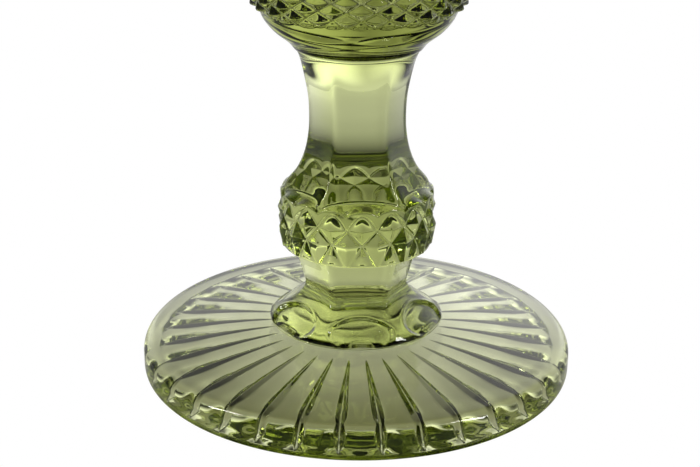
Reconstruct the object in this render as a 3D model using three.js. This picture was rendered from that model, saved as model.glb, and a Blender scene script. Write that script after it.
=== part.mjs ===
// Pressed glass candlestick: a round foot with radial grooves, a six-sided stem with a
// diamond knop, and a candle cup with a raised diamond lattice. Millimetres, +Z up. The origin is the
// centre of the foot's resting ring. The front of the candlestick faces -Y.
import * as THREE from 'three';

const TURN = 2 * Math.PI;
const DEG = Math.PI / 180;

// ---- driving dimensions -------------------------------------------------------------
const FOOT = {
  radius: 55,
  seatZ: 12.3, // flat land that the stem is bonded to
  seatRadius: 22.4,
  ringInner: 50.6, // the flat ring that it stands on
  ringOuter: 54.0,
  shoulderZ: 8.3,
  shoulderRadius: 3.3,
  grooves: 32,
  grooveDepth: 1.4,
};
const BOND = 0.2; // thickness of each adhesive film
const BOND_INSET = 0.2; // from the edge of a joint to the edge of its film
const STEM = {
  baseZ: FOOT.seatZ + BOND,
  collarRadius: 22.2,
  neckZ: 21.4,
  neckRadius: 13.0,
  knopBottomZ: 33.9,
  knopTopZ: 46.6,
  topZ: 83.4,
  topRadius: 15.4,
  sides: 6,
  segments: 96,
  turn: 2.5 * DEG,
};
const KNOP = { points: 16, halfRows: 3, stepsPerHalfRow: 3, radius: 18.7, pointHeight: 1.2 };
const CUP = {
  baseZ: STEM.topZ + BOND,
  baseRadius: 15.9,
  latticeZ: 93.0,
  latticeRows: 14,
  rowHeight: 2.1,
  pointsAround: 24,
  pointHeight: 1.5,
  rimZ: 136,
  rimRadius: 31.5,
  lipRadius: 1.4,
  wellRadius: 21.5, // holds a tealight or a votive candle
  wellFloorZ: 117.5,
  socketRadius: 11.25, // holds a dinner candle
  socketFloorZ: 96.5,
};

// ---- helpers ------------------------------------------------------------------------
// Closed body made of rings round the Z axis, from the point on the axis at firstZ to the
// point on the axis at lastZ. place(ring, angle, j) gives the radius and the height there.
// Each four-cornered patch is split along one diagonal: the valleys of a diamond lattice
// follow it, where a ring says how many segments make half a diamond and which half row
// it starts.
function turnedBody(rings, segments, firstZ, lastZ, place) {
  const positions = [0, 0, firstZ];
  rings.forEach((ring) => {
    for (let j = 0; j < segments; j += 1) {
      const angle = (j / segments) * TURN;
      const [radius, z] = place(ring, angle, j);
      const direction = angle + (ring.turn ?? 0);
      positions.push(radius * Math.cos(direction), radius * Math.sin(direction), z);
    }
  });
  positions.push(0, 0, lastZ);

  const index = [];
  const at = (i, j) => 1 + i * segments + (j % segments);
  const last = 1 + rings.length * segments;
  for (let j = 0; j < segments; j += 1) {
    index.push(0, at(0, j + 1), at(0, j));
    index.push(last, at(rings.length - 1, j), at(rings.length - 1, j + 1));
    for (let i = 0; i + 1 < rings.length; i += 1) {
      const [a, b, c, d] = [at(i, j), at(i, j + 1), at(i + 1, j), at(i + 1, j + 1)];
      const { halfDiamond = 1, halfRow = i } = rings[i];
      if ((halfRow + Math.floor(j / halfDiamond)) % 2 === 0) index.push(a, b, d, a, d, c);
      else index.push(a, b, c, b, d, c);
    }
  }
  const geometry = new THREE.BufferGeometry();
  geometry.setAttribute('position', new THREE.Float32BufferAttribute(positions, 3));
  geometry.setIndex(index);
  geometry.computeVertexNormals();
  return geometry;
}

// Points of a smooth outline through a few [radius, z] pairs.
function smoothOutline(pairs, steps) {
  const curve = new THREE.SplineCurve(pairs.map(([r, z]) => new THREE.Vector2(r, z)));
  return curve.getPoints(steps).map((p) => ({ r: p.x, z: p.y }));
}

// Points of a round outline about [r, z], from one angle in degrees to another.
function arcOutline([r, z], radius, from, to, steps) {
  return Array.from({ length: steps + 1 }, (_, i) => {
    const angle = (from + ((to - from) * i) / steps) * DEG;
    return { r: r + radius * Math.cos(angle), z: z + radius * Math.sin(angle) };
  });
}

// Radius of a regular polygon with corner radius 1, with a corner at angle 0.
function polygonRadius(angle, sides) {
  const side = TURN / sides;
  const within = ((angle % side) + side) % side;
  return Math.cos(side / 2) / Math.cos(within - side / 2);
}

// Height, 0 to 1, of a lattice of four-sided points that stand at the whole numbers whose
// sum is even.
function diamondHeight(across, up) {
  const [column, row] = [Math.round(across), Math.round(up)];
  const [aside, above] = [Math.abs(across - column), Math.abs(up - row)];
  return (column + row) % 2 === 0 ? 1 - aside - above : Math.abs(aside - above);
}

function glass(color) {
  return new THREE.MeshStandardMaterial({ color, roughness: 0.04, metalness: 0 });
}

function addMesh(group, name, geometry, material) {
  const mesh = new THREE.Mesh(geometry, material);
  mesh.name = name;
  group.add(mesh);
  return mesh;
}

// ---- foot ---------------------------------------------------------------------------
// A disc with a plain rounded wall. Its dished underside has radial grooves that fade out
// at the resting ring and below the stem.
function footGeometry() {
  const dish = [
    { r: 14, z: 5.2, groove: 0 },
    { r: 22, z: 5.0, groove: 0 },
    { r: 30, z: 4.4, groove: 0.4 },
    { r: 38, z: 3.3, groove: 0.8 },
    { r: 44, z: 2.1, groove: 1 },
    { r: 48, z: 1.1, groove: 0.5 },
  ];
  const ring = [{ r: FOOT.ringInner, z: 0 }, { r: FOOT.ringOuter, z: 0 }];
  const wallBottom = [{ r: 54.8, z: 0.6 }, { r: FOOT.radius, z: 1.6 }];
  const shoulderCentre = [FOOT.radius - FOOT.shoulderRadius, FOOT.shoulderZ - FOOT.shoulderRadius];
  const shoulder = arcOutline(shoulderCentre, FOOT.shoulderRadius, 0, 84, 5);
  const seat = { r: FOOT.seatRadius, z: FOOT.seatZ };
  const top = [{ r: 38, z: 10.2 }, seat];
  const rings = [...dish, ...ring, ...wallBottom, ...shoulder, ...top];
  const segments = 2 * FOOT.grooves;
  return turnedBody(rings, segments, dish[0].z, FOOT.seatZ, ({ r, z, groove = 0 }, _, j) => {
    // The grooves are at odd j, so that the land between two of them faces the front (-Y).
    const lift = j % 2 === 1 ? FOOT.grooveDepth * groove : 0;
    return [r, z + lift];
  });
}

// ---- stem ---------------------------------------------------------------------------
// One pressing: a round bell collar, a six-sided neck, a knop with two rows of diamond
// points under a six-sided dome, and a six-sided shaft that opens to a round top.
function stemRings() {
  const collar = smoothOutline(
    [[STEM.collarRadius, STEM.baseZ], [21.9, 13.6], [20.2, 15.2], [17.4, 17.0], [14.9, 18.7],
      [13.5, 20.2], [STEM.neckRadius, STEM.neckZ]], 6);
  const neck = [{ r: 14.2, z: 25.6 }, { r: 15.7, z: 31.0 }];
  const steps = KNOP.halfRows * KNOP.stepsPerHalfRow;
  const knopRows = Array.from({ length: steps + 1 }, (_, i) => ({
    r: KNOP.radius,
    z: THREE.MathUtils.lerp(STEM.knopBottomZ, STEM.knopTopZ, i / steps),
    halfRow: Math.floor(i / KNOP.stepsPerHalfRow),
    halfDiamond: STEM.segments / KNOP.points / 2,
    height: i / KNOP.stepsPerHalfRow,
    pointHeight: i === 0 ? 0 : KNOP.pointHeight,
  }));
  const dome = smoothOutline(
    [[18.5, STEM.knopTopZ + 0.9], [16.8, 50.5], [14.5, 53.6], [13.2, 56.8], [12.2, 61.3],
      [12.0, 65.0], [12.1, 69.5], [12.6, 73.7], [13.3, 77.4], [14.5, 81.2],
      [STEM.topRadius, STEM.topZ]], 12);
  return { collar, neck, knopRows, dome };
}

function stemGeometry() {
  const { collar, neck, knopRows, dome } = stemRings();
  const smoothStep = (from, to, z) => THREE.MathUtils.smoothstep(z, from, to);
  // How six-sided the section is at a height: 0 is round, 1 has flat sides.
  const facetedAt = (z) => {
    if (z < STEM.knopBottomZ) return smoothStep(15, 20, z);
    const fade = smoothStep(76, STEM.topZ - 0.5, z);
    return smoothStep(STEM.knopTopZ - 1, STEM.knopTopZ + 2, z) * (1 - fade);
  };
  const faceted = (rings) => rings.map((ring) => (
    { ...ring, faceted: facetedAt(ring.z), turn: STEM.turn }));
  const rings = [
    ...faceted(collar),
    ...faceted(neck),
    ...knopRows.map((ring) => ({ ...ring, turn: STEM.turn })),
    ...faceted(dome),
  ];
  return turnedBody(rings, STEM.segments, STEM.baseZ, STEM.topZ, (ring, angle, j) => {
    if (ring.halfDiamond) {
      const across = j / ring.halfDiamond;
      return [ring.r + ring.pointHeight * diamondHeight(across, ring.height), ring.z];
    }
    const flat = polygonRadius(angle, STEM.sides);
    return [ring.r * (1 + ring.faceted * (flat - 1)), ring.z];
  });
}

// ---- candle cup ---------------------------------------------------------------------
// A thick pressed cup. A lattice of raised diamond points covers its side, below a plain
// band and a turned-out rim. Inside are a well for a tealight and, in its floor, a socket
// for a dinner candle.
function cupGeometry() {
  const underside = smoothOutline(
    [[CUP.baseRadius, CUP.baseZ], [17.2, 85.2], [19.3, 86.9], [21.0, 88.3], [22.3, 89.8],
      [23.3, 91.3], [23.9, 92.7]], 6);
  const latticeTopZ = CUP.latticeZ + CUP.latticeRows * CUP.rowHeight;
  const side = (z) => {
    const t = (z - CUP.latticeZ) / (latticeTopZ - CUP.latticeZ);
    return 24.9 + 3.4 * Math.sin((t * Math.PI) / 2);
  };
  const lattice = Array.from({ length: CUP.latticeRows + 1 }, (_, i) => {
    const z = CUP.latticeZ + i * CUP.rowHeight;
    const edge = i === 0 || i === CUP.latticeRows;
    return { r: side(z), z, halfRow: i, points: edge ? 0 : CUP.pointHeight };
  });
  const rim = [
    ...smoothOutline([[28.0, latticeTopZ + 1], [28.0, latticeTopZ + 5], [29.6, CUP.rimZ - 4.4],
      [CUP.rimRadius, CUP.rimZ - 1.8]], 4),
    ...arcOutline([CUP.rimRadius - CUP.lipRadius, CUP.rimZ - CUP.lipRadius], CUP.lipRadius, 10, 170, 4),
    { r: 26.4, z: CUP.rimZ - 3 },
    { r: 23.0, z: CUP.rimZ - 5.4 },
  ];
  const inside = [
    { r: CUP.wellRadius, z: CUP.rimZ - 8 },
    { r: CUP.wellRadius, z: CUP.wellFloorZ },
    { r: CUP.socketRadius + 0.8, z: CUP.wellFloorZ },
    { r: CUP.socketRadius, z: CUP.wellFloorZ - 0.8 },
    { r: CUP.socketRadius, z: CUP.socketFloorZ },
  ];
  const rings = [...underside, ...lattice, ...rim, ...inside];
  return turnedBody(rings, 2 * CUP.pointsAround, CUP.baseZ, CUP.socketFloorZ, (ring, _, j) => {
    const raised = ring.points && (ring.halfRow + j) % 2 === 0 ? ring.points : 0;
    return [ring.r + raised, ring.z];
  });
}

// ---- adhesive films -----------------------------------------------------------------
function addBond(group, name, jointRadius, bottomZ) {
  const radius = jointRadius - BOND_INSET;
  const geometry = new THREE.CylinderGeometry(radius, radius, BOND, 48).rotateX(Math.PI / 2);
  addMesh(group, name, geometry, glass(0xdfe6c0)).position.z = bottomZ + BOND / 2;
}

// ---- assembly -----------------------------------------------------------------------
const candlestick = new THREE.Group();
addMesh(candlestick, 'foot', footGeometry(), glass(0xb9c46a));
addBond(candlestick, 'foot_bond', STEM.collarRadius, FOOT.seatZ);
addMesh(candlestick, 'stem', stemGeometry(), glass(0xa9b552));
addBond(candlestick, 'cup_bond', STEM.topRadius, STEM.topZ);
addMesh(candlestick, 'candle_cup', cupGeometry(), glass(0x9fae48));

export default candlestick;
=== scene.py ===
import math

import bpy
import numpy as np
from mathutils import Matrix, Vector


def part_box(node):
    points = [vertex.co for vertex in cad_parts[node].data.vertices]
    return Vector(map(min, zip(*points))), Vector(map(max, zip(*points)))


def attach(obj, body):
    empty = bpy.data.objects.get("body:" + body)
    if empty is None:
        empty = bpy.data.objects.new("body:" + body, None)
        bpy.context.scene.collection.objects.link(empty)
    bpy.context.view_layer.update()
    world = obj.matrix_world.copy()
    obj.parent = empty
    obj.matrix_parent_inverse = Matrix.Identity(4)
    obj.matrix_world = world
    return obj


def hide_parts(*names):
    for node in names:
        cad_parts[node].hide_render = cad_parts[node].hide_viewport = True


# Pressed green glass candlestick: round foot with radial grooves below, six-sided stem with a
# diamond knop, and a lattice candle cup. Outlines are [radius, height] pairs in millimetres,
# in the CAD frame, and they run from the middle of the underside, outside, to the middle of
# the top. The meshes are in metres.

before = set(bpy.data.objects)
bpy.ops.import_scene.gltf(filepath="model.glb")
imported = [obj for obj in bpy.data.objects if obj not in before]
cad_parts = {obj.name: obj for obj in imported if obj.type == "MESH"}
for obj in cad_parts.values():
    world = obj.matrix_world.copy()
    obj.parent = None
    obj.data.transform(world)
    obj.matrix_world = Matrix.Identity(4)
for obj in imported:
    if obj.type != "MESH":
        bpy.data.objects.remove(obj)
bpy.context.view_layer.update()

MM = 0.001
TURN = 2 * math.pi
LAP = 0.02 * MM  # how far bonded pieces lap into each other, so that no air gap shows
BEAD = 0.8  # width of the bond that shows round a joint, in millimetres


def top_of(node):
    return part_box(node)[1].z / MM


def bottom_of(node):
    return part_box(node)[0].z / MM


def radius_of(node):
    low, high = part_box(node)
    return (high.x - low.x) / 2 / MM


# ---- outlines ---------------------------------------------------------------------------
def line(a, b, step):
    """Points from a to b, a included and b left out."""
    a, b = np.array(a, float), np.array(b, float)
    count = max(1, round(np.linalg.norm(b - a) / step))
    return [a + (b - a) * i / count for i in range(count)]


def spline(points, step):
    """Points of a natural cubic spline through the points, the last one left out."""
    p = np.array(points, float)
    gap = np.linalg.norm(np.diff(p, axis=0), axis=1)
    knots = np.concatenate([[0], np.cumsum(gap)])
    system, pull = np.eye(len(p)), np.zeros_like(p)
    for i in range(1, len(p) - 1):
        system[i, i - 1:i + 2] = gap[i - 1], 2 * (gap[i - 1] + gap[i]), gap[i]
        pull[i] = 6 * ((p[i + 1] - p[i]) / gap[i] - (p[i] - p[i - 1]) / gap[i - 1])
    bend = np.linalg.solve(system, pull)
    t = np.linspace(0, knots[-1], max(2, round(knots[-1] / step)) + 1)[:-1]
    i = np.clip(np.searchsorted(knots, t, side="right") - 1, 0, len(gap) - 1)
    before = ((knots[i + 1] - t) / gap[i])[:, None]
    after = 1 - before
    return list(before * p[i] + after * p[i + 1]
                + ((before ** 3 - before) * bend[i] + (after ** 3 - after) * bend[i + 1])
                * (gap[i] ** 2 / 6)[:, None])


def arc(centre, radius, start, end, step):
    """Points of an arc, its angles in degrees, the last point left out."""
    count = max(2, round(abs(end - start) * math.pi / 180 * radius / step))
    angles = np.radians(np.linspace(start, end, count + 1)[:-1])
    return [np.array([centre[0] + radius * math.cos(a), centre[1] + radius * math.sin(a)])
            for a in angles]


def outward(rings):
    """Unit vectors, in radius and height, that point out of a body whose outline runs from
    the bottom pole to the top pole."""
    run = np.gradient(rings, axis=0)
    run /= np.linalg.norm(run, axis=1, keepdims=True) + 1e-12
    return np.column_stack([run[:, 1], -run[:, 0]])


def length_along(rings):
    return np.concatenate([[0], np.cumsum(np.linalg.norm(np.diff(rings, axis=0), axis=1))])


# ---- mesh -------------------------------------------------------------------------------
def turned_mesh(name, angle, radius, height):
    """A closed mesh from a grid of radii and heights: one row for each ring, one column for
    each angle. The first and last rings close on the axis."""
    rows, columns = radius.shape
    x = radius * np.cos(angle)
    y = radius * np.sin(angle)
    grid = np.stack([x, y, height], axis=2).reshape(-1, 3)
    poles = [(0, 0, height[0].mean()), (0, 0, height[-1].mean())]
    co = np.vstack([grid, poles]) * MM
    at = np.arange(rows * columns).reshape(rows, columns)
    after = np.roll(at, -1, axis=1)
    quads = np.stack([at[:-1], after[:-1], after[1:], at[1:]], axis=2).reshape(-1, 4)
    bottom, top = rows * columns, rows * columns + 1
    fans = [(bottom, b, a) for a, b in zip(at[0], after[0])]
    fans += [(top, a, b) for a, b in zip(at[-1], after[-1])]
    corners = np.concatenate([quads.ravel(), np.array(fans).ravel()])
    sizes = np.concatenate([np.full(len(quads), 4), np.full(len(fans), 3)])
    mesh = bpy.data.meshes.new(name)
    mesh.vertices.add(len(co))
    mesh.vertices.foreach_set("co", co.ravel())
    mesh.loops.add(len(corners))
    mesh.loops.foreach_set("vertex_index", corners.astype(np.int32))
    mesh.polygons.add(len(sizes))
    mesh.polygons.foreach_set("loop_start", (np.cumsum(sizes) - sizes).astype(np.int32))
    mesh.polygons.foreach_set("use_smooth", np.ones(len(sizes), bool))
    mesh.update(calc_edges=True)
    mesh.validate()
    piece = bpy.data.objects.new(name, mesh)
    bpy.context.scene.collection.objects.link(piece)
    return piece


def smoothstep(low, high, x):
    t = np.clip((x - low) / (high - low), 0, 1)
    return t * t * (3 - 2 * t)


def polygon(angle, sides, sharpness=26):
    """Radius of a regular polygon with slightly rounded corners, of radius 1 at the corners.
    A side faces angle 0."""
    middles = np.arange(sides) / sides * TURN
    facing = np.clip(np.cos(angle[:, None] - middles), 0, None) ** sharpness
    corner = 2 * math.cos(math.pi / sides) ** sharpness
    return (facing.sum(axis=1) / corner) ** (-1 / sharpness)


def lattice(across, up):
    """Height, 0 to 1, of four-sided points that stand where both numbers are whole and
    their sum is even."""
    column, row = np.round(across), np.round(up)
    aside, above = np.abs(across - column), np.abs(up - row)
    return np.where(np.mod(column + row, 2) == 0, 1 - aside - above, np.abs(aside - above))


# ---- foot -------------------------------------------------------------------------------
FLUTES = 32
GROOVE_SLOPE = math.tan(math.radians(49))
# Half width of a groove, by the length along the underside from the axis.
GROOVE_WIDTHS = [[20.5, 0.0], [23, 0.35], [30, 0.7], [36, 1.05], [41, 1.35], [44.5, 1.4],
                 [47.5, 0.9], [49.3, 0.35], [50.8, 0.0]]
# How far the middle of a flute swells, by the same length.
SWELL = [[24, 0.0], [40, 0.12], [46, 0.3], [49, 0.3], [51, 0.0]]
FINE, COARSE = 15, 7  # columns across a groove, and across the rest of a flute
FINE_SHARE = 0.36  # of a flute's width, for the groove's columns
COLLAR_RADIUS = 22.35  # the top is flat from the stem's collar out to here
RING_INNER, RING_OUTER = 50.6, 53.9  # the ring that the foot stands on


def flute_angles():
    """Angles round the foot, close together at the grooves. A flute's middle faces -Y."""
    groove = (np.arange(FINE) / FINE - 0.5) * FINE_SHARE
    rest = FINE_SHARE / 2 + np.arange(COARSE) / COARSE * (1 - FINE_SHARE)
    within = np.concatenate([groove, rest])
    steps = np.arange(FLUTES)[:, None] + 0.5 + within[None, :]
    return steps.ravel() / FLUTES * TURN - math.pi / 2


def build_foot():
    seat = bottom_of("stem") + LAP / MM
    step_down = top_of("foot")
    radius = radius_of("foot")
    step_radius = radius_of("foot_bond") - BEAD
    hollow = line([1.5, 5.2], [14, 5.2], 4)
    hollow += spline([[14, 5.2], [22, 5.0], [30, 4.4], [38, 3.3], [44, 2.1], [48, 1.1],
                      [RING_INNER, 0.0]], 0.62)
    ring = line([RING_INNER, 0], [RING_OUTER, 0], 1.1)
    edge = spline([[RING_OUTER, 0], [54.5, 0.25], [54.85, 0.8], [radius, 1.7]], 0.3)
    wall = line([radius, 1.7], [radius, 5.0], 1.1)
    shoulder = arc([radius - 3.3, 5.0], 3.3, 0, 82, 0.35)
    top = spline([[51.9, 8.28], [44, 9.32], [38, 10.15], [30, 11.27],
                  [COLLAR_RADIUS, step_down]], 1.6)
    top += line([COLLAR_RADIUS, step_down], [step_radius, step_down], 1)
    land = line([step_radius, seat], [0.8, seat], 5)
    rings = np.array(hollow + ring + edge + wall + shoulder + top + land)

    angle = flute_angles()
    turns = (angle + math.pi / 2) / TURN * FLUTES
    side = np.abs(np.mod(turns, 1) - 0.5) / FLUTES * TURN
    along = length_along(rings) + rings[0, 0]
    width = np.interp(along, *np.array(GROOVE_WIDTHS).T, left=0, right=0)
    across = side[None, :] * rings[:, :1]
    groove = np.clip(width[:, None] - across, 0, None) * GROOVE_SLOPE
    # Each flute swells a little, and most where it turns down to the resting ring.
    swell = np.interp(along, *np.array(SWELL).T)[:, None]
    move = swell * np.cos((turns - np.round(turns)) * math.pi) ** 2 - groove
    out = outward(rings)
    radii = rings[:, :1] + move * out[:, :1]
    heights = np.maximum(rings[:, 1:] + move * out[:, 1:], 0.0)
    return turned_mesh("pressed_foot", angle, radii, heights)


# ---- stem -------------------------------------------------------------------------------
SIDES = 6
SIDE_ANGLE = math.radians(-90 + 2.5)
KNOP_POINTS = 16
POINT_ANGLE = math.radians(-90 + 2.6)
KNOP_BOTTOM, KNOP_TOP = 33.3, 47.4
ROW_UNDER, ROW_HALF = 38.5, 3.9  # height of the lower row of points, and of half a diamond
POINT_HEIGHT = 1.35
VALLEY_DEPTH, VALLEY_WIDTH = 0.22, 0.10  # of the line pressed round each diamond
ARCH_POWER = 1.8
BORDER_LOW, BORDER_RISE = 45.35, 1.45  # top edge of the scalloped border, and its rise
BORDER_HEIGHT = 0.75
STEM_COLUMNS = 480
PRINT_HALF_WIDTH = 0.84  # of a thumbprint, as a share of half a side
PRINT_HALF_LENGTH = 4.7
PRINT_MIDDLE = [20, 15.4]  # on the bell's outline


def knop_relief(across, z):
    """Height of the knop's relief. The first number is whole at the middle of a diamond: even
    under an arch, odd between two arches."""
    under_arch = np.abs(np.mod(across + 1, 2) - 1)
    between = 1 - under_arch
    up = (z - ROW_UNDER) / ROW_HALF
    # Two rows of diamond points.
    full = lattice(across, up + 1)
    # The upper row ends in an arch.
    arch = 1 - under_arch ** ARCH_POWER
    v = up - 1
    arched = (1 - under_arch) * np.clip(1 - v / np.maximum(arch, 1e-3), 0, None)
    # The lower row runs down to the edge, and small points stand between its diamonds.
    w = np.clip(-v - 1, 0, None) * ROW_HALF / (ROW_UNDER - KNOP_BOTTOM)
    half = 0.72 * w
    lower = (1 - 0.8 * w) * np.clip(1 - between / np.maximum(1 - half, 1e-3), 0, None)
    small = 0.6 * np.minimum(w / 0.5, (1 - w) / 0.5)
    small = small * np.clip(1 - under_arch / (half + 1e-3), 0, None)
    points = np.where(v > 0, arched, np.where(w > 0, np.maximum(lower, small), full))
    # A raised border follows the arches.
    border_in = ROW_UNDER + ROW_HALF * (1 + arch)
    border_out = BORDER_LOW + BORDER_RISE * np.sqrt(np.clip(1 - under_arch ** 2, 0, 1))
    inside = smoothstep(-0.15, 0.35, z - border_in)
    outside = smoothstep(-0.55, 0.25, border_out + 0.5 - z)
    border = BORDER_HEIGHT * inside * outside
    valley = VALLEY_DEPTH * np.exp(-(points / VALLEY_WIDTH) ** 2)
    return (POINT_HEIGHT * points - valley) * (z < border_in) + border * (v > 0)


def build_stem():
    low, high = bottom_of("stem"), bottom_of("candle_cup") + LAP / MM
    base_radius = radius_of("stem")
    step_up, step_radius = top_of("stem"), radius_of("cup_bond") - BEAD
    base = line([1.5, low], [base_radius - 0.5, low], 3)
    bell = spline([[base_radius - 0.5, low], [base_radius, 12.85], [21.75, 13.8], [20.2, 15.3],
                   [17.4, 17.1], [14.9, 18.8], [13.5, 20.2], [13.0, 21.8], [13.35, 23.5],
                   [14.3, 26.8], [15.5, 30.6], [15.9, 32.0]], 0.42)
    under = spline([[15.9, 32.0], [16.6, 32.35], [17.8, 32.65], [18.6, 32.9],
                    [18.95, KNOP_BOTTOM]], 0.3)
    band = line([18.95, KNOP_BOTTOM], [18.5, KNOP_TOP], 0.24)
    shaft = spline([[18.5, KNOP_TOP], [17.9, 48.9], [16.7, 50.6], [15.4, 52.1],
                    [14.4, 53.8], [13.2, 56.8], [12.45, 60.0], [12.05, 63.5], [12.0, 67.0],
                    [12.25, 71.3], [12.95, 75.3], [13.9, 79.5], [14.8, 82.3],
                    [15.4, step_up]], 0.7)
    shaft += line([15.4, step_up], [step_radius, step_up], 1)
    land = line([step_radius, high], [0.8, high], 3)
    rings = np.array(base + bell + under + band + shaft + land)

    columns = STEM_COLUMNS
    angle = np.arange(columns) / columns * TURN
    z = rings[:, 1:] * np.ones(columns)
    radii = rings[:, :1] * np.ones(columns)
    is_base = np.arange(len(rings))[:, None] < len(base)
    is_land = np.arange(len(rings))[:, None] >= len(rings) - len(land)

    # Six sides: full on the neck and from the knop's dome up, and faint on the bell.
    below = smoothstep(12.6, 16.5, z) * 0.45 + smoothstep(16.5, 21.5, z) * 0.55
    below *= 1 - smoothstep(31.0, 33.0, z)
    above = smoothstep(KNOP_TOP - 0.4, KNOP_TOP + 1.6, z) * (1 - smoothstep(74, high - 1, z))
    faceted = np.where(z < KNOP_BOTTOM, below, above)
    faceted = np.where(is_land | is_base, 0, faceted)
    radii *= 1 + faceted * (polygon(angle - SIDE_ANGLE, SIDES) - 1)

    # Thumbprints: an oval scoop on the bell under each side of the neck.
    side_place = np.mod((angle - SIDE_ANGLE) / TURN * SIDES + 0.5, 1) * 2 - 1
    along = length_along(rings)[:, None]
    middle = along[np.argmin(np.abs(rings - PRINT_MIDDLE).sum(axis=1))]
    oval = 1 - (side_place / PRINT_HALF_WIDTH) ** 2 - ((along - middle) / PRINT_HALF_LENGTH) ** 2
    # It is nearly flat inside a steep edge, and a thin ridge runs round it.
    dent = 0.45 * smoothstep(0, 0.3, oval) + 0.35 * np.clip(oval, 0, 1)
    dent -= 0.12 * np.exp(-((oval + 0.05) / 0.12) ** 2)

    across = (angle - POINT_ANGLE) / TURN * KNOP_POINTS * 2
    on_knop = (z >= KNOP_BOTTOM - 1e-6) & (z <= KNOP_TOP + 1.0)
    raised = np.where(on_knop, knop_relief(across, z), 0)
    move = np.where(is_land | is_base, 0, raised - dent * (z < 22))
    out = outward(rings)
    radii = radii + move * out[:, :1]
    heights = z + move * out[:, 1:]
    return turned_mesh("pressed_stem", angle, radii, heights)


# ---- candle cup -------------------------------------------------------------------------
CUP_POINTS = 24
CUP_COLUMNS = CUP_POINTS * 16
LATTICE_LOW, LATTICE_ROWS, ROW = 93.0, 14, 2.1
LATTICE_BASE, LATTICE_HEIGHT = 0.25, 1.8  # of the ground between the diamonds, and of a diamond
LIP = 1.4  # radius of the rim's edge
SEAT_RADIUS = 15.9  # of the flat that rests on the stem
WELL_RADIUS, WELL_FLOOR = 21.5, 117.5
SOCKET_RADIUS, SOCKET_FLOOR = 11.25, 96.5


def build_cup():
    low, rim_z = bottom_of("candle_cup"), top_of("candle_cup")
    rim_radius = radius_of("candle_cup")
    lattice_high = LATTICE_LOW + LATTICE_ROWS * ROW
    base = line([1.5, low], [SEAT_RADIUS, low], 3)
    under = spline([[SEAT_RADIUS, low], [17.2, 85.2], [19.3, 86.9], [21.0, 88.3], [22.3, 89.8],
                    [23.3, 91.3], [23.9, 92.7], [24.3, 94.0]], 0.45)
    side = spline([[24.3, 94.0], [26.2, 100], [27.8, 109], [28.3, 118],
                   [28.2, lattice_high + 1]], 0.3)
    band = spline([[28.2, lattice_high + 1], [28.05, 126], [28.4, 129], [29.6, 131.8],
                   [31.2, 134.0]], 0.5)
    rim = arc([rim_radius - LIP, rim_z - LIP], LIP, 0, 165, 0.25)
    inner = spline([[28.75, rim_z - 1.0], [26.4, rim_z - 3.0], [23.4, rim_z - 5.4],
                    [21.6, rim_z - 8.2], [WELL_RADIUS, rim_z - 10]], 0.5)
    well = line([WELL_RADIUS, rim_z - 10], [WELL_RADIUS, 118.1], 0.8)
    well += arc([20.9, 118.1], 0.6, 0, -90, 0.2)
    well += line([20.9, WELL_FLOOR], [12.0, WELL_FLOOR], 1.0)
    socket = arc([12.05, 116.7], 0.8, 90, 180, 0.2)
    socket += line([SOCKET_RADIUS, 116.7], [SOCKET_RADIUS, 97.3], 1.0)
    socket += arc([10.45, 97.3], 0.8, 0, -90, 0.2)
    socket += line([10.45, SOCKET_FLOOR], [0.8, SOCKET_FLOOR], 2.0)
    rings = np.array(base + under + side + band + rim + inner + well + socket)

    columns = CUP_COLUMNS
    angle = np.arange(columns) / columns * TURN
    z = rings[:, 1:] * np.ones(columns)
    across = angle / TURN * CUP_POINTS * 2
    up = (z - LATTICE_LOW) / ROW
    points = lattice(across, up)
    # Rounded diamonds: a soft top and a narrow valley.
    dome = 1 - np.sqrt((1 - points) ** 2 + 0.05)
    first, last = len(base), len(base) + len(under) + len(side) + len(band)
    outer = np.zeros((len(rings), 1))
    outer[first:last] = 1
    fade = smoothstep(-0.1, 0.9, up) * (1 - smoothstep(LATTICE_ROWS - 0.9, LATTICE_ROWS + 0.1, up))
    raised = outer * fade * (LATTICE_BASE + LATTICE_HEIGHT * np.clip(dome, 0, 1))
    out = outward(rings)
    radii = rings[:, :1] + raised * out[:, :1]
    heights = z + raised * out[:, 1:]
    return turned_mesh("pressed_cup", angle, radii, heights)


# ---- bond -------------------------------------------------------------------------------
BOND_COLUMNS = 192
BOND_EDGE = 0.06  # width of the chamfer on its outer edges


def build_bond(node):
    """The clear bond where it shows: a ring in the step round the joint."""
    low, high, outer = bottom_of(node), top_of(node), radius_of(node)
    edge = BOND_EDGE
    section = np.array([[outer - BEAD, low], [outer - edge, low], [outer, low + edge],
                        [outer, high - edge], [outer - edge, high], [outer - BEAD, high]])
    columns = BOND_COLUMNS
    angle = np.arange(columns) / columns * TURN
    radius = section[:, :1] * np.ones(columns)
    co = np.stack([radius * np.cos(angle), radius * np.sin(angle),
                   section[:, 1:] * np.ones(columns)], axis=2).reshape(-1, 3) * MM
    at = np.arange(len(co)).reshape(len(section), columns)
    above, after = np.roll(at, -1, axis=0), np.roll(at, -1, axis=1)
    quads = np.stack([at, after, np.roll(above, -1, axis=1), above], axis=2).reshape(-1, 4)
    mesh = bpy.data.meshes.new(node + "_ring")
    mesh.from_pydata(co.tolist(), [], quads.tolist())
    ring = bpy.data.objects.new(node + "_ring", mesh)
    bpy.context.scene.collection.objects.link(ring)
    return ring


# ---- materials --------------------------------------------------------------------------
GLASS_IOR = 1.5
RIPPLE_SCALE, RIPPLE_DETAIL = 90, 1.5


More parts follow.
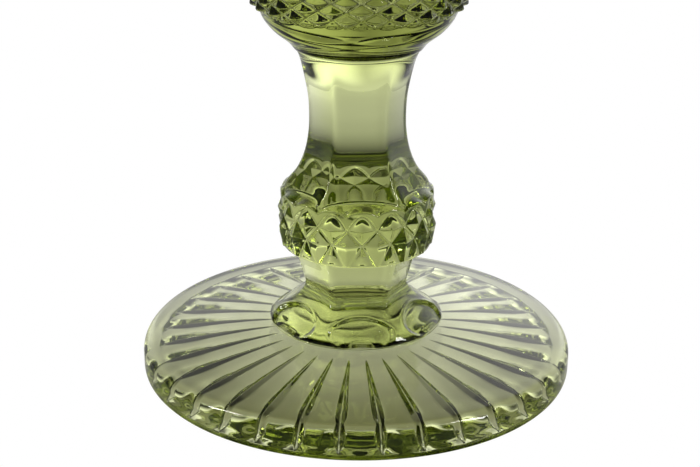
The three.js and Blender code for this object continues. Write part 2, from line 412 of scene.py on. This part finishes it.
def glass(name, ripple, density, colour):
    """Clear glass with body colour from absorption, and the slight ripple of pressed glass."""
    material = bpy.data.materials.new(name)
    material.use_nodes = True
    nodes, links = material.node_tree.nodes, material.node_tree.links
    shader = nodes["Principled BSDF"]
    shader.inputs["Base Color"].default_value = (1, 1, 1, 1)
    shader.inputs["Transmission Weight"].default_value = 1
    shader.inputs["IOR"].default_value = GLASS_IOR
    shader.inputs["Roughness"].default_value = 0.0
    place = nodes.new("ShaderNodeTexCoord")
    wave = nodes.new("ShaderNodeTexNoise")
    wave.inputs["Scale"].default_value = RIPPLE_SCALE
    wave.inputs["Detail"].default_value = RIPPLE_DETAIL
    bump = nodes.new("ShaderNodeBump")
    bump.inputs["Strength"].default_value = 1.0
    bump.inputs["Distance"].default_value = ripple
    links.new(place.outputs["Object"], wave.inputs["Vector"])
    links.new(wave.outputs["Fac"], bump.inputs["Height"])
    links.new(bump.outputs["Normal"], shader.inputs["Normal"])
    if density:
        volume = nodes.new("ShaderNodeVolumeAbsorption")
        volume.inputs["Color"].default_value = (*colour, 1)
        volume.inputs["Density"].default_value = density
        links.new(volume.outputs["Volume"], nodes["Material Output"].inputs["Volume"])
    return material


foot_glass = glass("foot_green_glass", 0.00012, density=56, colour=(0.59, 0.65, 0.10))
stem_glass = glass("stem_green_glass", 0.00006, density=50, colour=(0.71, 0.78, 0.14))
cup_glass = glass("cup_green_glass", 0.00006, density=66, colour=(0.50, 0.55, 0.05))


def dress(piece, material, node):
    piece.data.materials.append(material)
    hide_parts(node)
    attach(piece, "root")


foot = build_foot()
dress(foot, foot_glass, "foot")
stem = build_stem()
dress(stem, stem_glass, "stem")
cup = build_cup()
dress(cup, cup_glass, "candle_cup")
film = glass("clear_film", 0.00001, density=0, colour=(1, 1, 1))
for node in ("foot_bond", "cup_bond"):
    dress(build_bond(node), film, node)


# ---- stage ------------------------------------------------------------------------------
# The camera sees a white floor and backdrop. The glass sees them shaded, as below. A ramp is
# a list of stops, each with its place from 0 to 1 and its brightness or colour.
FLOOR_HALF = 3.0
FLOOR_BELOW = 0.0002  # how far the floor is below the foot, so that the two do not touch
FLOOR_DEPTH = (-0.5, 2.0)  # from the front to the back
# Painted light and shade: the floor's glow, dark to the front and bright to the back.
PAINTED_FLOOR_GLOW = [(0.0, 0.06), (0.17, 0.20), (0.23, 0.40), (0.30, 0.66), (0.5, 0.84), (1.0, 0.95)]
FOOT_DEPTH = (-0.055, 0.055)
# Painted shadow below the foot, tinted in the glass's green: darkest at the front, lighter to the
# back.
PAINTED_FOOT_SHADOW = [(0.0, (0.27, 0.275, 0.11)), (0.5, (0.64, 0.64, 0.50)), (1.0, (1.25, 1.25, 1.12))]
SHADE_EDGE = (0.046, 0.066)  # the foot's shade fades out between these radii
# Painted sheen: brightness of the floor's glow by the angle that it is seen at: 0 straight down, 1
# at a glance.
PAINTED_SHEEN_BY_ANGLE = [(0.0, 0.55), (0.03, 0.45), (0.08, 0.05), (0.2, 0.05), (0.62, 1)]
# Painted light: the floor glows brighter to the right.
RIGHT_SIDE, PAINTED_RIGHT_LIGHT = (0.07, 0.4), 0.55  # the floor is brighter to the right
SHEEN_ANGLE, SHEEN, SHEEN_ROUGHNESS = (0.2, 0.65), 0.4, 0.45
TOWARDS_BACKDROP = (0.22, 0.97, 0)
ROOM = [(0.0, 0.16), (0.50, 0.10), (0.75, 0.25), (0.88, 0.95), (1.0, 1.05)]  # front to back
CEILING = [(0.0, 0.85), (0.25, 0.85), (0.38, 0.6), (0.50, 0.15), (0.62, 0.04)]  # upwards
GLOWS = (((0.38, 0.84, 0.38), 1.15), ((-0.45, 0.82, 0.35), 0.5))  # direction and brightness
GLOW_EDGE = 0.88  # cosine of the angle from a glow's middle to its edge


def ramp(nodes, stops):
    """A colour ramp through the stops."""
    node = nodes.new("ShaderNodeValToRGB")
    elements = node.color_ramp.elements
    while len(elements) < len(stops):
        elements.new(0.5)
    for element, (position, colour) in zip(elements, stops):
        element.position = position
        element.color = (*(colour if isinstance(colour, tuple) else (colour,) * 3), 1)
    return node


def map_range(nodes, low, high):
    node = nodes.new("ShaderNodeMapRange")
    node.inputs["From Min"].default_value = low
    node.inputs["From Max"].default_value = high
    return node


def vector_math(nodes, operation):
    node = nodes.new("ShaderNodeVectorMath")
    node.operation = operation
    return node


def make_floor():
    """A pale floor that glows though it is no lamp, with painted light for the glass: painted
    light brighter to the back and right, painted shadow in the glass's green below the foot, and
    painted sheen that makes it dim where it is seen steeply, with a real glossy sheen mixed in."""
    mesh = bpy.data.meshes.new("floor")
    h = FLOOR_HALF
    mesh.from_pydata([(-h, -h, 0), (h, -h, 0), (h, h, 0), (-h, h, 0)], [], [(0, 1, 2, 3)])
    floor = bpy.data.objects.new("floor", mesh)
    floor.location.z = -FLOOR_BELOW
    bpy.context.scene.collection.objects.link(floor)
    material = bpy.data.materials.new("floor_with_painted_light")
    material.use_nodes = True
    nodes, links = material.node_tree.nodes, material.node_tree.links
    nodes.remove(nodes["Principled BSDF"])
    place = nodes.new("ShaderNodeTexCoord")
    split = nodes.new("ShaderNodeSeparateXYZ")
    links.new(place.outputs["Object"], split.inputs["Vector"])
    depth = map_range(nodes, *FLOOR_DEPTH)
    links.new(split.outputs["Y"], depth.inputs["Value"])
    # Painted light and shade: the floor glows dark to the front and bright to the back.
    painted_floor_glow = ramp(nodes, PAINTED_FLOOR_GLOW)
    links.new(depth.outputs["Result"], painted_floor_glow.inputs["Fac"])
    under = map_range(nodes, *FOOT_DEPTH)
    links.new(split.outputs["Y"], under.inputs["Value"])
    # Painted shadow below the foot, in the glass's green.
    shade = ramp(nodes, PAINTED_FOOT_SHADOW)
    links.new(under.outputs["Result"], shade.inputs["Fac"])
    length = vector_math(nodes, "LENGTH")
    links.new(place.outputs["Object"], length.inputs[0])
    out_to = map_range(nodes, *SHADE_EDGE)
    links.new(length.outputs["Value"], out_to.inputs["Value"])
    facing = nodes.new("ShaderNodeLayerWeight")
    facing.inputs["Blend"].default_value = 0.5
    # Painted sheen: the floor glows dim when seen steeply and bright at a glance.
    glance = ramp(nodes, PAINTED_SHEEN_BY_ANGLE)
    links.new(facing.outputs["Facing"], glance.inputs["Fac"])
    mix = nodes.new("ShaderNodeMix")
    mix.data_type = "RGBA"
    links.new(out_to.outputs["Result"], mix.inputs["Factor"])
    links.new(shade.outputs["Color"], mix.inputs["A"])
    links.new(painted_floor_glow.outputs["Color"], mix.inputs["B"])
    light = nodes.new("ShaderNodeEmission")
    # Painted light: extra glow on the floor to the right.
    aside = map_range(nodes, *RIGHT_SIDE)
    aside.inputs["To Max"].default_value = PAINTED_RIGHT_LIGHT
    links.new(split.outputs["X"], aside.inputs["Value"])
    brighter = vector_math(nodes, "ADD")
    links.new(mix.outputs["Result"], brighter.inputs[0])
    links.new(aside.outputs["Result"], brighter.inputs[1])
    links.new(brighter.outputs["Vector"], light.inputs["Color"])
    links.new(glance.outputs["Color"], light.inputs["Strength"])
    gloss = nodes.new("ShaderNodeBsdfGlossy")
    gloss.inputs["Roughness"].default_value = SHEEN_ROUGHNESS
    sheen = map_range(nodes, *SHEEN_ANGLE)
    sheen.inputs["To Max"].default_value = SHEEN
    links.new(facing.outputs["Facing"], sheen.inputs["Value"])
    lit = nodes.new("ShaderNodeMixShader")
    links.new(sheen.outputs["Result"], lit.inputs["Fac"])
    links.new(light.outputs["Emission"], lit.inputs[1])
    links.new(gloss.outputs["BSDF"], lit.inputs[2])
    white = nodes.new("ShaderNodeEmission")
    path = nodes.new("ShaderNodeLightPath")
    seen = nodes.new("ShaderNodeMixShader")
    links.new(path.outputs["Is Camera Ray"], seen.inputs["Fac"])
    links.new(lit.outputs["Shader"], seen.inputs[1])
    links.new(white.outputs["Emission"], seen.inputs[2])
    links.new(seen.outputs["Shader"], nodes["Material Output"].inputs["Surface"])
    floor.data.materials.append(material)


def make_world():
    """A studio: a bright backdrop with a glow to each side, and a dim room and ceiling."""
    world = bpy.data.worlds.new("studio")
    bpy.context.scene.world = world
    world.use_nodes = True
    nodes, links = world.node_tree.nodes, world.node_tree.links
    place = nodes.new("ShaderNodeTexCoord")
    split = nodes.new("ShaderNodeSeparateXYZ")
    links.new(place.outputs["Generated"], split.inputs["Vector"])
    towards = vector_math(nodes, "DOT_PRODUCT")
    links.new(place.outputs["Generated"], towards.inputs[0])
    towards.inputs[1].default_value = TOWARDS_BACKDROP
    depth = map_range(nodes, -1, 1)
    links.new(towards.outputs["Value"], depth.inputs["Value"])
    front_to_back = ramp(nodes, ROOM)
    links.new(depth.outputs["Result"], front_to_back.inputs["Fac"])
    height = map_range(nodes, 0, 1)
    links.new(split.outputs["Z"], height.inputs["Value"])
    ceiling = ramp(nodes, CEILING)
    links.new(height.outputs["Result"], ceiling.inputs["Fac"])
    times = nodes.new("ShaderNodeMix")
    times.data_type, times.blend_type = "RGBA", "MULTIPLY"
    times.inputs["Factor"].default_value = 1
    links.new(front_to_back.outputs["Color"], times.inputs["A"])
    links.new(ceiling.outputs["Color"], times.inputs["B"])
    lit = times.outputs["Result"]
    for direction, strength in GLOWS:
        facing = vector_math(nodes, "DOT_PRODUCT")
        links.new(place.outputs["Generated"], facing.inputs[0])
        facing.inputs[1].default_value = direction
        glow = map_range(nodes, GLOW_EDGE, 1.0)
        glow.interpolation_type = "SMOOTHSTEP"
        glow.inputs["To Max"].default_value = strength
        links.new(facing.outputs["Value"], glow.inputs["Value"])
        plus = vector_math(nodes, "ADD")
        links.new(lit, plus.inputs[0])
        links.new(glow.outputs["Result"], plus.inputs[1])
        lit = plus.outputs["Vector"]
    path = nodes.new("ShaderNodeLightPath")
    seen = nodes.new("ShaderNodeMix")
    seen.data_type = "RGBA"
    seen.inputs["B"].default_value = (1, 1, 1, 1)
    links.new(path.outputs["Is Camera Ray"], seen.inputs["Factor"])
    links.new(lit, seen.inputs["A"])
    links.new(seen.outputs["Result"], nodes["Background"].inputs["Color"])


SOFTBOX_AIM = Vector((0, 0, 0.06))


def softbox(name, location, width, height, power):
    """A tall soft light, which shows as a thin highlight in the glass."""
    data = bpy.data.lights.new(name, "AREA")
    data.shape = "RECTANGLE"
    data.size, data.size_y = width, height
    data.energy = power
    lamp = bpy.data.objects.new(name, data)
    lamp.location = location
    lamp.rotation_euler = (SOFTBOX_AIM - Vector(location)).to_track_quat("-Z", "Y").to_euler()
    bpy.context.scene.collection.objects.link(lamp)


make_floor()
make_world()
softbox("right_softbox", (0.9, -0.35, 0.8), 0.12, 0.6, 4)
softbox("left_softbox", (-0.9, -0.1, 0.75), 0.08, 0.5, 3)


# ---- camera -----------------------------------------------------------------------------
CAMERA_DOWN = math.radians(21.25)
CAMERA_DISTANCE = 0.3706
AIM = Vector((-0.00897, 0, 0.03462))
LENS, SENSOR = 74.93, 36
SHIFT = 0.041


def make_camera():
    data = bpy.data.cameras.new("camera")
    data.lens, data.sensor_width = LENS, SENSOR
    data.shift_x = SHIFT
    data.clip_start = 0.01
    camera = bpy.data.objects.new("camera", data)
    bpy.context.scene.collection.objects.link(camera)
    look = Vector((0, math.cos(CAMERA_DOWN), -math.sin(CAMERA_DOWN)))
    camera.location = AIM - CAMERA_DISTANCE * look
    camera.rotation_euler = (math.pi / 2 - CAMERA_DOWN, 0, 0)
    bpy.context.scene.camera = camera


make_camera()

GLASS_BOUNCES = 32  # light crosses many faces inside pressed glass
scene = bpy.context.scene
scene.view_settings.view_transform = "Standard"
scene.cycles.max_bounces = GLASS_BOUNCES
scene.cycles.transmission_bounces = GLASS_BOUNCES
scene.cycles.glossy_bounces = 12
